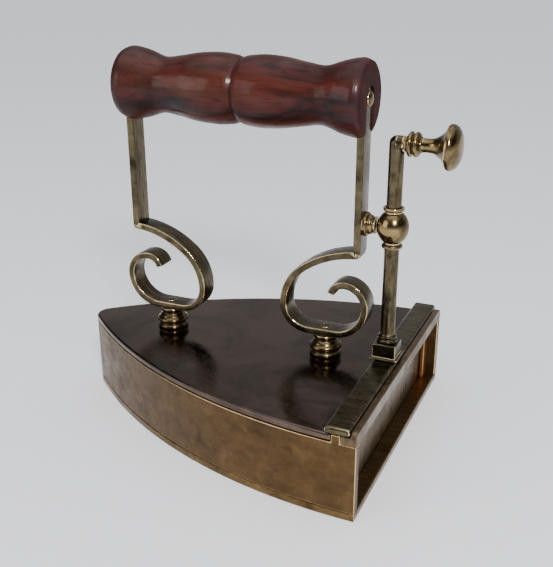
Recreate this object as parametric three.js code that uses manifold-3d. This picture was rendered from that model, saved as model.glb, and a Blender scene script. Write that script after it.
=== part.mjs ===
// Brass box iron (slug iron) with a lifting heel gate and a turned wooden grip.
// Millimetres. +X points to the nose, +Y to the iron's left, +Z up; the sole lies on z = 0, its heel edge on x = 0.

import * as THREE from 'three';
import { mergeVertices } from 'three/addons/utils/BufferGeometryUtils.js';
import Module from 'manifold-3d';

const wasm = await Module();
wasm.setup();

// ---- Driving dimensions -------------------------------------------------------------------------

const seam = 0.2; // joint line left between two pieces that touch
const holeClearance = 0.3; // radial play of a fixed pin in its hole

const bodyLength = 141; // heel edge to nose
const bodyWidth = 117; // across the heel
const bodyHeight = 33; // sole face to the top plate's upper face
const noseRadius = 6;
const wallThickness = 3.5;
const soleThickness = 3;
const topThickness = 2.8;
const edgeBevel = 0.6;
const ribHeight = 2; // ribs inside the sole that carry the slug
const ribWidth = 4;

const gateX = 7.6; // middle plane of the gate and of its lift rod
const gateThickness = 3;
const gateClearance = 0.4; // play of the gate in its channels and slot
const gateFloorGap = 0.4;
const channelLip = 1.5;
const channelWeb = 1.5;
const channelGrip = 3; // how far the channel reaches over the gate's edge

const lintelLipWidth = 2.2;
const lintelLipHeight = 2;
const lintelCornerRadius = 3;
const capWidth = 9.2; // gate cap, along the iron
const capHeight = 3;
const capOverhang = 0.2; // the cap stands proud of each side wall
const capBevel = 0.7;

const footSize = 9; // square block at the rod's foot
const footHeight = 6.4;
const footFlangeHeight = 1;
const footFlangeLip = 0.9;
const rodCollarRadius = 4;
const rodCollarHeight = 3.2;
const rodDiameter = 5.6;
const rodStudDiameter = 3.4; // thinned end that passes the collar, foot and cap
const elbowShoulder = 0.2; // how far the knob collar's seat stands out of the rod's side
const elbowReach = rodDiameter / 2 + elbowShoulder;

const knobZ = 120.2;
const knobSpigotDiameter = 3;
const knobSpigotLength = 2.4;
const knobCollarRadius = 4.6;
const knobCollarLength = 6;
const knobStemRadius = 2.7;
const knobDiscRadius = 8.2;
const knobLength = 14;

const guideZ = 89;
const guideBallRadius = 6;
const guideBallHeight = 15.4;
const guideBoreClearance = 0.35;
const guideArmRadius = 3.8;
const guideFlangeRadius = 4.6;
const guideFlangeLength = 1.6;
const guideTenonDiameter = 3.4;

const stripWidth = 8.6; // flat bar of the two stanchions, across the iron
const stripThickness = 2.8;
const stanchionInset = 20; // rear stanchion's middle plane from the heel edge
const stanchionSpan = 96; // between the two stanchions
const shoulderZ = 77.2; // where each stanchion turns into its scroll
const shoulderDip = 3; // degrees below level where the scroll leaves the stanchion
const shoulderArc = { radius: 39, turn: 37 };
const outerArc = { radius: 19, turn: 50 };
const riseArc = { radius: 12.6, turn: 90 };
const curlArc = { radius: 8.6, turn: 90 };
const tipArc = { radius: 5.4, turn: 75 };
const tipTaper = 0.7; // thickness left at the scroll's tip
const loopBottomZ = 43.3; // middle of the bar where it rests on the post

const postX = 33; // rear post from the heel edge; the front one mirrors it
const postRadius = 6.5;
const postNeckRadius = 4.3;
const postFlat = 8.6; // level stretch of the bar over the post
const postStudDiameter = 4.4;
const postTenonDiameter = 3.4;
const nutSize = 8.5;
const nutHeight = 3.2;

const gripZ = 135;
const gripEndRadius = 12.2;
const gripBulgeRadius = 14.1;
const gripWaistRadius = 10.7;
const gripSwellRadius = 13.4;
const gripGrooveRadius = 11.6;
const gripOverhang = 0.7; // the wood runs past the bar's outer face by this much
const tieRodDiameter = 3.4;
const tieRodHeadRadius = 2.9;
const tieRodHeadHeight = 1.3;

const slugPlay = 2.5; // free travel of the slug behind the closed gate
const slugDoorClearance = 0.6; // the slug passes this far inside the channels' lips
const slugNoseGap = 1.5;
const slugHeight = 18;
const slugNoseRadius = 4;
const slugHoleDiameter = 9;
const slugHoleInset = 14;

// ---- Materials ----------------------------------------------------------------------------------

const metal = (color, roughness) => new THREE.MeshStandardMaterial({ color, roughness, metalness: 1 });
const wallBrass = metal(0x94743c, 0.42);
const plateBrass = metal(0x6b5a4a, 0.28);
const barBrass = metal(0x857448, 0.35);
const gateBrass = metal(0x77705c, 0.5);
const knobBrass = metal(0x9a8450, 0.3);
const castIron = metal(0x3a3836, 0.75);
const redWood = new THREE.MeshStandardMaterial({ color: 0x5a2a22, roughness: 0.35, metalness: 0 });

// ---- Shape helpers ------------------------------------------------------------------------------

function toSolid(geometry) {
  const bare = geometry.index ? geometry.toNonIndexed() : geometry.clone();
  bare.deleteAttribute('normal');
  bare.deleteAttribute('uv');
  const merged = mergeVertices(bare, 1e-4);
  return new wasm.Manifold(new wasm.Mesh({
    numProp: 3,
    vertProperties: new Float32Array(merged.attributes.position.array),
    triVerts: new Uint32Array(merged.index.array),
  }));
}

function fromSolid(solid) {
  const mesh = solid.getMesh();
  const geometry = new THREE.BufferGeometry();
  geometry.setAttribute('position', new THREE.BufferAttribute(mesh.vertProperties, 3));
  geometry.setIndex(new THREE.BufferAttribute(mesh.triVerts, 1));
  geometry.computeVertexNormals();
  return geometry;
}

const cut = (geometry, ...tools) => fromSolid(tools.reduce((s, t) => s.subtract(toSolid(t)), toSolid(geometry)));
const join = (...pieces) => fromSolid(pieces.slice(1).reduce((s, p) => s.add(toSolid(p)), toSolid(pieces[0])));
const common = (a, b) => fromSolid(toSolid(a).intersect(toSolid(b)));

// A flat outline in plan, raised from z0 to z1.
function plate(shape, z0, z1, bevel = 0) {
  const geometry = new THREE.ExtrudeGeometry(shape, {
    depth: z1 - z0 - 2 * bevel,
    bevelEnabled: bevel > 0,
    bevelThickness: bevel,
    bevelSize: bevel,
    bevelOffset: -bevel,
    bevelSegments: 1,
    curveSegments: 16,
  });
  return geometry.translate(0, 0, z0 + bevel);
}

// An outline drawn in the XZ plane, given a width across the iron.
function across(shape, width, bevel = 0) {
  const geometry = new THREE.ExtrudeGeometry(shape, {
    depth: width - 2 * bevel,
    bevelEnabled: bevel > 0,
    bevelThickness: bevel,
    bevelSize: bevel,
    bevelOffset: -bevel,
    bevelSegments: 1,
    curveSegments: 12,
  });
  return geometry.rotateX(Math.PI / 2).translate(0, width / 2 - bevel, 0);
}

function box(x0, x1, y0, y1, z0, z1) {
  const geometry = new THREE.BoxGeometry(x1 - x0, y1 - y0, z1 - z0);
  return geometry.translate((x0 + x1) / 2, (y0 + y1) / 2, (z0 + z1) / 2);
}

function rectangle(x0, x1, y0, y1) {
  return new THREE.Shape([
    new THREE.Vector2(x0, y0),
    new THREE.Vector2(x1, y0),
    new THREE.Vector2(x1, y1),
    new THREE.Vector2(x0, y1),
  ]);
}

// A body of revolution about Z from [radius, height] pairs listed from the bottom up.
function turned(profile, segments = 20) {
  const points = profile.map(([r, h]) => new THREE.Vector2(r, h));
  return new THREE.LatheGeometry(points, segments).rotateX(Math.PI / 2);
}

// The same, about the X axis: heights run along +X.
const turnedAlongX = (profile, segments) => turned(profile, segments).rotateY(Math.PI / 2);

function rod(diameter, z0, z1, segments = 16) {
  return turned([[0, z0], [diameter / 2, z0], [diameter / 2, z1], [0, z1]], segments);
}

const rodAlongX = (diameter, x0, x1, segments) => rod(diameter, x0, x1, segments).rotateY(Math.PI / 2);

const model = new THREE.Group();

function add(name, geometry, material, x = 0, y = 0, z = 0) {
  const mesh = new THREE.Mesh(geometry, material);
  mesh.name = name;
  mesh.position.set(x, y, z);
  model.add(mesh);
}

// ---- Plan of the body ---------------------------------------------------------------------------

// Pointed-arch plan: each side is one arc, square to the heel, that runs into the nose radius.
function sideArcRadius(length, halfWidth, nose) {
  return ((length - nose) ** 2 + halfWidth ** 2 - nose ** 2) / (2 * (halfWidth - nose));
}

function halfWidthAt(x, length, halfWidth, nose) {
  const radius = sideArcRadius(length, halfWidth, nose);
  return Math.sqrt(radius ** 2 - x ** 2) - (radius - halfWidth);
}

function archPoints(length, halfWidth, nose, heelX) {
  const radius = sideArcRadius(length, halfWidth, nose);
  const side = radius - halfWidth;
  const tangent = Math.atan2(side, length - nose);
  const heel = Math.PI / 2 - Math.asin(heelX / radius);
  const path = new THREE.Path();
  path.absarc(0, side, radius, -heel, -tangent, false);
  path.absarc(length - nose, 0, nose, -tangent, tangent, false);
  path.absarc(0, -side, radius, tangent, heel, false);
  return path.getPoints(14);
}

const archShape = (...sizes) => new THREE.Shape(archPoints(...sizes));

const halfWidth = bodyWidth / 2;
const topUnder = bodyHeight - topThickness;
const cavityLength = bodyLength - wallThickness;
const cavityHalfWidth = halfWidth - wallThickness;
const cavityNose = Math.max(noseRadius - wallThickness, 0.5);

// ---- Box: sole, walls, top ----------------------------------------------------------------------

const gateFront = gateX + gateThickness / 2;
const gateRear = gateX - gateThickness / 2;
const channelFront = gateFront + gateClearance + channelLip;
const slugRear = gateFront + slugPlay + seam;
const ribEnd = bodyLength * 0.6;
const ribY = cavityHalfWidth * 0.42;

const rib = (y) => box(slugRear, ribEnd, y - ribWidth / 2, y + ribWidth / 2, soleThickness / 2, soleThickness + ribHeight);
add('sole_plate', join(
  plate(archShape(bodyLength, halfWidth, noseRadius, 0), 0, soleThickness, edgeBevel / 2),
  rib(ribY),
  rib(-ribY),
), wallBrass);

const wallShape = new THREE.Shape([
  ...archPoints(bodyLength, halfWidth, noseRadius, 0),
  ...archPoints(cavityLength, cavityHalfWidth, cavityNose, 0).reverse(),
]);
const slotFront = gateFront + gateClearance;
const slotRear = gateRear - gateClearance;
// The wall rises through the top at both ends of the gate slot.
const slotEnds = common(
  plate(wallShape, topUnder - 1, bodyHeight),
  box(slotRear + seam, slotFront - seam, -bodyWidth, bodyWidth, 0, 2 * bodyHeight),
);
add('side_wall', join(plate(wallShape, soleThickness + seam, topUnder - seam), slotEnds), wallBrass);

const frontPostX = 2 * stanchionInset + stanchionSpan - postX;
const postHole = (x) => rod(postStudDiameter + 2 * holeClearance, topUnder - 1, bodyHeight + 1).translate(x, 0, 0);
add('top_plate', cut(
  plate(archShape(bodyLength, halfWidth, noseRadius, slotFront), topUnder, bodyHeight, edgeBevel),
  postHole(postX),
  postHole(frontPostX),
), plateBrass);

// The heel lintel closes the top behind the gate slot, with a raised lip along the heel.
const lipTop = bodyHeight + lintelLipHeight;
const lintelSection = new THREE.Shape([
  new THREE.Vector2(0, topUnder),
  new THREE.Vector2(slotRear, topUnder),
  new THREE.Vector2(slotRear, bodyHeight),
  new THREE.Vector2(lintelLipWidth, bodyHeight),
  new THREE.Vector2(lintelLipWidth, lipTop),
  new THREE.Vector2(0.4, lipTop),
  new THREE.Vector2(0, lipTop - 0.4),
]);
const lintelFace = new THREE.Shape();
lintelFace.moveTo(-halfWidth, topUnder - 1);
lintelFace.lineTo(halfWidth, topUnder - 1);
lintelFace.lineTo(halfWidth, lipTop - lintelCornerRadius);
lintelFace.absarc(halfWidth - lintelCornerRadius, lipTop - lintelCornerRadius, lintelCornerRadius, 0, Math.PI / 2, false);
lintelFace.absarc(lintelCornerRadius - halfWidth, lipTop - lintelCornerRadius, lintelCornerRadius, Math.PI / 2, Math.PI, false);
const lintelBlank = new THREE.ExtrudeGeometry(lintelFace, { depth: slotRear + 2, bevelEnabled: false, curveSegments: 8 });
lintelBlank.rotateX(Math.PI / 2).rotateZ(Math.PI / 2).translate(-1, 0, 0);
add('heel_lintel', common(across(lintelSection, bodyWidth), lintelBlank), wallBrass);

// ---- Gate channels ------------------------------------------------------------------------------

const channelRear = gateRear - gateClearance - channelLip;
const channelOuterY = halfWidthAt(channelFront, cavityLength, cavityHalfWidth, cavityNose) - seam;
const gateHalfWidth = channelOuterY - channelWeb - gateClearance;
for (const [side, name] of [[1, 'left_gate_channel'], [-1, 'right_gate_channel']]) {
  const innerY = gateHalfWidth - channelGrip;
  const channel = cut(
    box(channelRear, channelFront, innerY, channelOuterY, soleThickness + seam, topUnder - seam),
    box(slotRear, slotFront, innerY - 1, gateHalfWidth + gateClearance, 0, bodyHeight),
  );
  add(name, side > 0 ? channel : channel.rotateZ(Math.PI).translate(2 * gateX, 0, 0), wallBrass);
}

// ---- Lifting gate with its rod and knob ---------------------------------------------------------

const capZ = bodyHeight + seam;
const capTop = capZ + capHeight;
const capRear = lintelLipWidth + 0.3;
const footZ = capTop + seam;
const footTop = footZ + footHeight;
const collarZ = footTop + seam;
const collarTop = collarZ + rodCollarHeight;
const studHole = rod(rodStudDiameter + 2 * holeClearance, 0, collarTop + 1).translate(gateX, 0, 0);

add('gate_plate', box(
  gateRear, gateFront, -gateHalfWidth, gateHalfWidth, soleThickness + gateFloorGap, bodyHeight,
), gateBrass);

const capHalfLength = halfWidth + capOverhang;
add('gate_cap', cut(
  plate(rectangle(capRear, capRear + capWidth, -capHalfLength, capHalfLength), capZ, capTop, capBevel),
  studHole,
), barBrass);

const square = (size) => rectangle(gateX - size / 2, gateX + size / 2, -size / 2, size / 2);
add('rod_foot', cut(
  join(
    plate(square(footSize + 2 * footFlangeLip), footZ, footZ + footFlangeHeight, footFlangeHeight / 3),
    plate(square(footSize), footZ, footTop, footFlangeHeight / 3),
  ),
  studHole,
), barBrass);

const collarWaist = (rodCollarRadius + rodDiameter / 2) / 2;
add('rod_collar', cut(
  turned([
    [0, collarZ],
    [rodCollarRadius - 0.5, collarZ],
    [rodCollarRadius, collarZ + 0.5],
    [rodCollarRadius, collarZ + rodCollarHeight * 0.35],
    [collarWaist, collarZ + rodCollarHeight * 0.55],
    [collarWaist + 0.3, collarZ + rodCollarHeight * 0.85],
    [collarWaist, collarTop],
    [0, collarTop],
  ]).translate(gateX, 0, 0),
  studHole,
), barBrass);

const rodZ = collarTop + seam;
const spigotHole = rodAlongX(knobSpigotDiameter + 2 * holeClearance, -2 * elbowReach, 0)
  .translate(gateX - elbowReach + knobSpigotLength + holeClearance, 0, knobZ);
add('lift_rod', cut(
  join(
    rod(rodDiameter, rodZ, knobZ).translate(gateX, 0, 0),
    rod(rodStudDiameter, capZ, rodZ + 1).translate(gateX, 0, 0),
    new THREE.SphereGeometry(rodDiameter / 2, 16, 12).translate(gateX, 0, knobZ),
    rodAlongX(rodDiameter, gateX - elbowReach, gateX).translate(0, 0, knobZ),
  ),
  spigotHole,
), barBrass);

// The collar and the knob are turned about the knob's own axis, which runs to the rear.
const elbowFace = gateX - elbowReach - seam;
const toRear = (profile) => turnedAlongX(profile).rotateZ(Math.PI).translate(elbowFace, 0, knobZ);
const collarNeck = knobStemRadius + 0.3;
add('knob_collar', cut(
  toRear([
    [0, 0],
    [collarNeck, 0],
    [collarNeck, 0.8],
    [knobCollarRadius - 0.4, 1.2],
    [knobCollarRadius, 1.7],
    [knobCollarRadius, 2.5],
    [knobCollarRadius - 1.1, 3.1],
    [knobCollarRadius, 3.8],
    [knobCollarRadius, 4.6],
    [knobCollarRadius - 0.5, 5.2],
    [collarNeck, knobCollarLength],
    [0, knobCollarLength],
  ]),
  rodAlongX(knobSpigotDiameter + 2 * holeClearance, -knobCollarLength - 1, 1).translate(elbowFace, 0, knobZ),
), knobBrass);

const knobStart = knobCollarLength + seam;
const knobEnd = knobStart + knobLength;
const discStart = knobEnd - 5.4;
add('lift_knob', toRear([
  [0, -knobSpigotLength],
  [knobSpigotDiameter / 2, -knobSpigotLength],
  [knobSpigotDiameter / 2, knobStart],
  [knobStemRadius, knobStart],
  [knobStemRadius, knobStart + 2.6],
  [knobStemRadius + 0.6, knobStart + 4.6],
  [knobStemRadius + 1.9, knobStart + 6.6],
  [knobStemRadius + 3.9, discStart - 0.2],
  [knobDiscRadius - 0.5, discStart + 0.4],
  [knobDiscRadius, discStart + 1.4],
  [knobDiscRadius - 0.2, discStart + 2.4],
  [knobDiscRadius - 1.5, discStart + 3.7],
  [knobDiscRadius - 3.8, discStart + 4.8],
  [knobDiscRadius - 6.2, knobEnd - 0.1],
  [0, knobEnd],
]), knobBrass);

// ---- Guide that steadies the rod ----------------------------------------------------------------

const guideBoreRadius = rodDiameter / 2 + guideBoreClearance;
const guideBore = rod(2 * guideBoreRadius, guideZ - guideBallHeight, guideZ + guideBallHeight);
const ballProfile = [[0, -guideBallHeight / 2]];
const collarRadius = Math.max(guideBallRadius * 0.66, guideBoreRadius + 0.8);
const collarBand = guideBallHeight * 0.06;
ballProfile.push([collarRadius, -guideBallHeight / 2], [collarRadius, collarBand - guideBallHeight / 2]);
for (let step = 1; step < 8; step += 1) {
  const angle = Math.PI * (step / 8 - 0.5);
  const radius = Math.max(guideBallRadius * Math.cos(angle), collarRadius - 0.5);
  ballProfile.push([radius, Math.sin(angle) * (guideBallHeight / 2 - collarBand)]);
}
ballProfile.push([collarRadius, guideBallHeight / 2 - collarBand], [collarRadius, guideBallHeight / 2]);
ballProfile.push([0, guideBallHeight / 2]);
add('guide_ball', cut(
  turned(ballProfile).translate(0, 0, guideZ),
  guideBore,
).translate(gateX, 0, 0), knobBrass);

const stanchionRear = stanchionInset - stripThickness / 2;
const armStart = gateX + guideBallRadius + seam;
const armEnd = stanchionRear - seam;
const flangeStart = armEnd - guideFlangeLength;
const tenonEnd = stanchionInset + stripThickness / 2;
add('guide_arm', turnedAlongX([
  [0, armStart],
  [guideArmRadius - 0.4, armStart],
  [guideArmRadius, armStart + 0.5],
  [guideArmRadius, flangeStart - 0.6],
  [guideFlangeRadius, flangeStart],
  [guideFlangeRadius, armEnd],
  [guideTenonDiameter / 2, armEnd],
  [guideTenonDiameter / 2, tenonEnd],
  [0, tenonEnd],
]).translate(0, 0, guideZ), knobBrass);

// ---- Stanchions with scrolls --------------------------------------------------------------------

// Height lost and length gained by an arc that starts `from` degrees below level.
function arcFall({ radius, turn }, from) {
  const start = THREE.MathUtils.degToRad(from);
  const end = THREE.MathUtils.degToRad(from + turn);
  return { down: radius * (Math.cos(start) - Math.cos(end)), along: radius * (Math.sin(end) - Math.sin(start)) };
}

// The bar's middle line, walked from the shoulder as a run of arcs that all turn the same way.
function scrollLine() {
  const first = arcFall(shoulderArc, shoulderDip);
  const second = arcFall(outerArc, shoulderDip + shoulderArc.turn);
  const lowerRadius = shoulderZ - loopBottomZ - first.down - second.down;
  const flatStart = stanchionInset + first.along + second.along - lowerRadius;
  const pieces = [
    shoulderArc,
    outerArc,
    { radius: lowerRadius, turn: 180 - shoulderDip - shoulderArc.turn - outerArc.turn },
    { straight: flatStart - (postX - postFlat / 2) },
    riseArc,
    curlArc,
    tipArc,
  ];
  const points = [];
  let heading = THREE.MathUtils.degToRad(-shoulderDip);
  let x = stanchionInset;
  let z = shoulderZ;
  for (const piece of pieces) {
    const steps = piece.turn ? Math.ceil(piece.turn / 11) : 1;
    const bend = piece.turn ? THREE.MathUtils.degToRad(piece.turn) / steps : 0;
    const stride = piece.turn ? 2 * piece.radius * Math.sin(bend / 2) : piece.straight;
    for (let step = 0; step < steps; step += 1) {
      x += stride * Math.cos(heading - bend / 2);
      z += stride * Math.sin(heading - bend / 2);
      heading -= bend;
      points.push({ x, z, heading });
    }
  }
  return points;
}

function barOutline() {
  const half = stripThickness / 2;
  const line = scrollLine();
  const taperSteps = 6;
  const edge = (sign) => line.map((p, i) => {
    const thinning = Math.max(0, i - (line.length - 1 - taperSteps)) / taperSteps;
    const offset = sign * half * (1 - (1 - tipTaper) * thinning);
    return new THREE.Vector2(p.x - Math.sin(p.heading) * offset, p.z + Math.cos(p.heading) * offset);
  });
  return new THREE.Shape([
    new THREE.Vector2(stanchionInset - half, gripZ),
    new THREE.Vector2(stanchionInset - half, shoulderZ - half),
    ...edge(-1),
    ...edge(1).reverse(),
    new THREE.Vector2(stanchionInset + half, shoulderZ + half),
    new THREE.Vector2(stanchionInset + half, gripZ),
  ]);
}

const stanchionFront = stanchionInset + stripThickness / 2;
const tieRodHole = tieRodDiameter + 2 * holeClearance;

function scrollBar(...extraHoles) {
  const ear = rodAlongX(stripWidth, stanchionRear, stanchionFront).translate(0, 0, gripZ);
  const postTenonHole = rod(postTenonDiameter + 2 * holeClearance, -stripThickness, stripThickness);
  return cut(
    join(across(barOutline(), stripWidth, 0.4), ear),
    rodAlongX(tieRodHole, stanchionRear - 1, stanchionFront + 1).translate(0, 0, gripZ),
    postTenonHole.translate(postX, 0, loopBottomZ),
    ...extraHoles,
  );
}

// The front one is the rear one turned about, so that the two mirror each other.
const middleX = stanchionInset + stanchionSpan / 2;
const turnAbout = (geometry) => geometry.rotateZ(Math.PI).translate(2 * middleX, 0, 0);
const armHole = rodAlongX(guideTenonDiameter + 2 * holeClearance, stanchionRear - 1, stanchionFront + 1);
add('rear_scroll', scrollBar(armHole.translate(0, 0, guideZ)), barBrass);
add('front_scroll', turnAbout(scrollBar()), barBrass);

// ---- Posts under the scrolls --------------------------------------------------------------------

const postBase = bodyHeight + seam;
const postTop = loopBottomZ - stripThickness / 2 - seam;
const postHeight = postTop - postBase;
const nutTop = topUnder - seam;
const studEnd = nutTop - nutHeight - 1.2;
const postProfile = [
  [0, studEnd],
  [postStudDiameter / 2, studEnd],
  [postStudDiameter / 2, postBase],
  [postRadius * 0.84, postBase],
  [postRadius, postBase + postHeight * 0.08],
  [postRadius, postBase + postHeight * 0.24],
  [postRadius - 1.3, postBase + postHeight * 0.32],
  [postRadius, postBase + postHeight * 0.42],
  [postRadius, postBase + postHeight * 0.56],
  [postNeckRadius + 0.8, postBase + postHeight * 0.68],
  [postNeckRadius, postBase + postHeight * 0.8],
  [postNeckRadius + 0.7, postBase + postHeight * 0.88],
  [postNeckRadius + 0.7, postTop],
  [postTenonDiameter / 2, postTop],
  [postTenonDiameter / 2, loopBottomZ + stripThickness / 2],
  [0, loopBottomZ + stripThickness / 2],
];

for (const [name, x] of [['rear', postX], ['front', frontPostX]]) {
  add(`${name}_post`, turned(postProfile), knobBrass, x);
  add(`${name}_post_nut`, cut(
    box(-nutSize / 2, nutSize / 2, -nutSize / 2, nutSize / 2, nutTop - nutHeight, nutTop),
    rod(postStudDiameter + holeClearance, 0, bodyHeight),
  ), gateBrass, x);
}

// ---- Grip and its tie rod -----------------------------------------------------------------------

const gripStart = stanchionRear - gripOverhang;
const gripHalf = middleX - gripStart;

// Half of the turned outline, from the end face to the groove at mid length.
const gripCurve = new THREE.SplineCurve([
  new THREE.Vector2(gripEndRadius + 1, 0.01 * gripHalf),
  new THREE.Vector2(gripBulgeRadius - 0.2, 0.04 * gripHalf),
  new THREE.Vector2(gripBulgeRadius, 0.08 * gripHalf),
  new THREE.Vector2(gripBulgeRadius - 1.1, 0.19 * gripHalf),
  new THREE.Vector2(gripWaistRadius, 0.34 * gripHalf),
  new THREE.Vector2(gripWaistRadius + 0.8, 0.49 * gripHalf),
  new THREE.Vector2(gripSwellRadius - 0.5, 0.65 * gripHalf),
  new THREE.Vector2(gripSwellRadius, 0.81 * gripHalf),
  new THREE.Vector2(gripSwellRadius - 0.5, 0.93 * gripHalf),
  new THREE.Vector2(gripSwellRadius - 1, 0.97 * gripHalf),
]);
const halfProfile = [[0, 0], [gripEndRadius, 0]];
for (const point of gripCurve.getPoints(16)) {
  halfProfile.push([point.x, point.y]);
}
const gripProfile = [
  ...halfProfile,
  [gripGrooveRadius, gripHalf],
  ...halfProfile.map(([r, h]) => [r, 2 * gripHalf - h]).reverse(),
];

const slotHalf = stripWidth / 2 + holeClearance;
const slotEnd = stanchionFront + holeClearance;
const endSlot = () => join(
  box(gripStart - 1, slotEnd, -slotHalf, slotHalf, gripZ - 2 * gripBulgeRadius, gripZ),
  rodAlongX(2 * slotHalf, gripStart - 1, slotEnd).translate(0, 0, gripZ),
);
add('wooden_grip', cut(
  turnedAlongX(gripProfile, 28).translate(gripStart, 0, gripZ),
  rodAlongX(tieRodHole, 0, bodyLength).translate(0, 0, gripZ),
  endSlot(),
  turnAbout(endSlot()),
), redWood);

const headSeat = stanchionRear - seam;
const headDome = [[0, -tieRodHeadHeight], [0.45, -0.9], [0.8, -0.5], [1, 0]];
const rearHead = headDome.map(([r, h]) => [
  r * tieRodHeadRadius,
  headSeat + (h === -tieRodHeadHeight ? h : h * tieRodHeadHeight),
]);
add('grip_tie_rod', turnedAlongX([
  ...rearHead,
  [tieRodDiameter / 2, headSeat],
  [tieRodDiameter / 2, 2 * middleX - headSeat],
  ...rearHead.map(([r, x]) => [r, 2 * middleX - x]).reverse(),
]).translate(0, 0, gripZ), knobBrass);

// ---- Slug that holds the heat -------------------------------------------------------------------

const slugZ = soleThickness + ribHeight + seam;
const slugHalfWidth = gateHalfWidth - channelGrip - slugDoorClearance;
const slugShape = archShape(cavityLength - slugNoseGap, slugHalfWidth, slugNoseRadius, slugRear);
add('heating_slug', cut(
  plate(slugShape, slugZ, slugZ + slugHeight, 1),
  rod(slugHoleDiameter, 0, bodyHeight).translate(slugRear + slugHoleInset, 0, 0),
), castIron);

// The origin lies on the sole, under the middle of the grip.
model.position.set(-middleX, 0, 0);

export default model;
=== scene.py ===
"""Looks of an antique brass box iron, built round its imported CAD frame. Metres, +X to the nose, +Z up."""

import math

import bmesh
import bpy
import numpy as np
from mathutils import Matrix, Vector


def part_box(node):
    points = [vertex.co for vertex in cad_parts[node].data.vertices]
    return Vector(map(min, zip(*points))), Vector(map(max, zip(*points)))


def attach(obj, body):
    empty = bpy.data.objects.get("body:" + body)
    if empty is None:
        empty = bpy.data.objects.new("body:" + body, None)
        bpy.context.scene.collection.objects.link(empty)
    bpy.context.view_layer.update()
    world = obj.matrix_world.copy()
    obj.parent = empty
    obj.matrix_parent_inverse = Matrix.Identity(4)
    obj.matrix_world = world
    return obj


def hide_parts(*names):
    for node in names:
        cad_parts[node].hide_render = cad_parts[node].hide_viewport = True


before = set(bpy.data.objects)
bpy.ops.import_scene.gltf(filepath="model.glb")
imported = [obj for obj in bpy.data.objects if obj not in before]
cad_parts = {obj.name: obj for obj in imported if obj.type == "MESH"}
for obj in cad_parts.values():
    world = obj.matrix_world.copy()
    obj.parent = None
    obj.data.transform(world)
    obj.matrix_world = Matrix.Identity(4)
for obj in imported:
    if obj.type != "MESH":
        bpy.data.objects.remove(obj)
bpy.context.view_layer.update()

MM = 0.001
BODY = "iron_body"
GATE = "lift_gate"
SLUG = "slug"

STRIP_THICKNESS = 2.8 * MM  # flat bar of the two stanchions
SEAT_GAP = 0.1 * MM  # left between each post's seat and the bar on it
PIN_RADIUS = 1.7 * MM  # pins that pass through the flat bar
STUD_RADIUS = 2.2 * MM  # posts' studs through the top plate
TIE_HEAD_HEIGHT = 1.5 * MM  # tie rod's head, outside the flat bar
BORE_CLEARANCE = 0.35 * MM  # lift rod in its guide
WIDE_FACE = 6 * MM * MM  # faces larger than this count as flats


# ---- Places taken from the frame ----------------------------------------------------------------

def low(node):
    return Vector([float(v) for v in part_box(node)[0]])


def high(node):
    return Vector([float(v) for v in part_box(node)[1]])


def middle(node):
    return (low(node) + high(node)) / 2


def extent(node):
    return high(node) - low(node)


# ---- Mesh helpers -------------------------------------------------------------------------------

def linked_object(name, data):
    made = bpy.data.objects.new(name, data)
    bpy.context.scene.collection.objects.link(made)
    return made


def new_object(name, verts, faces, edges=()):
    mesh = bpy.data.meshes.new(name)
    mesh.from_pydata([tuple(v) for v in verts], list(edges), faces)
    if faces:
        mesh.validate()
    return linked_object(name, mesh)


def evaluated_copy(piece, name):
    """The piece with its modifiers worked in, as a plain mesh that takes its place."""
    bpy.context.view_layer.update()
    graph = bpy.context.evaluated_depsgraph_get()
    mesh = bpy.data.meshes.new_from_object(piece.evaluated_get(graph))
    old = piece.data
    bpy.data.objects.remove(piece)
    if old.users == 0:
        bpy.data.meshes.remove(old)
    mesh.name = name
    return linked_object(name, mesh)


def catmull(points, steps=8):
    """A smooth run through the points."""
    pts = [Vector(p) for p in points]
    pts = [2 * pts[0] - pts[1], *pts, 2 * pts[-1] - pts[-2]]
    out = []
    for a, b, c, d in zip(pts, pts[1:], pts[2:], pts[3:]):
        for i in range(steps):
            t = i / steps
            out.append(0.5 * (2 * b + (c - a) * t + (2 * a - 5 * b + 4 * c - d) * t * t
                              + (3 * b - 3 * c + d - a) * t ** 3))
    out.append(pts[-2])
    return [tuple(p) for p in out]


def soften(profile, radius, steps=4):
    """Rounds each corner of an open outline of (radius, height) pairs."""
    out = [tuple(profile[0])]
    for before, at, after in zip(profile, profile[1:], profile[2:]):
        a, b, c = Vector(before), Vector(at), Vector(after)
        reach = min(radius, 0.45 * (b - a).length, 0.45 * (c - b).length)
        start = b + (a - b).normalized() * reach if (a - b).length else b
        end = b + (c - b).normalized() * reach if (c - b).length else b
        for i in range(steps + 1):
            t = i / steps
            out.append(tuple(start * (1 - t) ** 2 + b * 2 * t * (1 - t) + end * t * t))
    out.append(tuple(profile[-1]))
    return out


def with_end_rings(points, reach=0.45 * MM):
    """Adds a point near each end of every long span, so that edge marks (worn edges with their painted
    highlight, and dirt in folds) stay close to the edge.
    """
    out = [tuple(points[0])]
    for a, b in zip(points, points[1:]):
        start, end = Vector(a), Vector(b)
        span = (end - start).length
        if span > 3 * reach:
            out.append(tuple(start.lerp(end, reach / span)))
            out.append(tuple(end.lerp(start, reach / span)))
        out.append(tuple(b))
    return out


def ring_faces(lower, upper, segments):
    """Quads between two rings, or triangles where one of them is a single pole."""
    faces = []
    for k in range(segments):
        n = (k + 1) % segments
        corners = [lower[k % len(lower)], lower[n % len(lower)]]
        corners += [upper[n % len(upper)], upper[k % len(upper)]]
        face = list(dict.fromkeys(corners))
        if len(face) > 2:
            faces.append(face)
    return faces


LATHE_TURN = {
    "z": Matrix.Identity(3),
    "x": Matrix.Rotation(math.pi / 2, 3, "Y"),
    "-x": Matrix.Rotation(-math.pi / 2, 3, "Y"),
}


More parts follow.
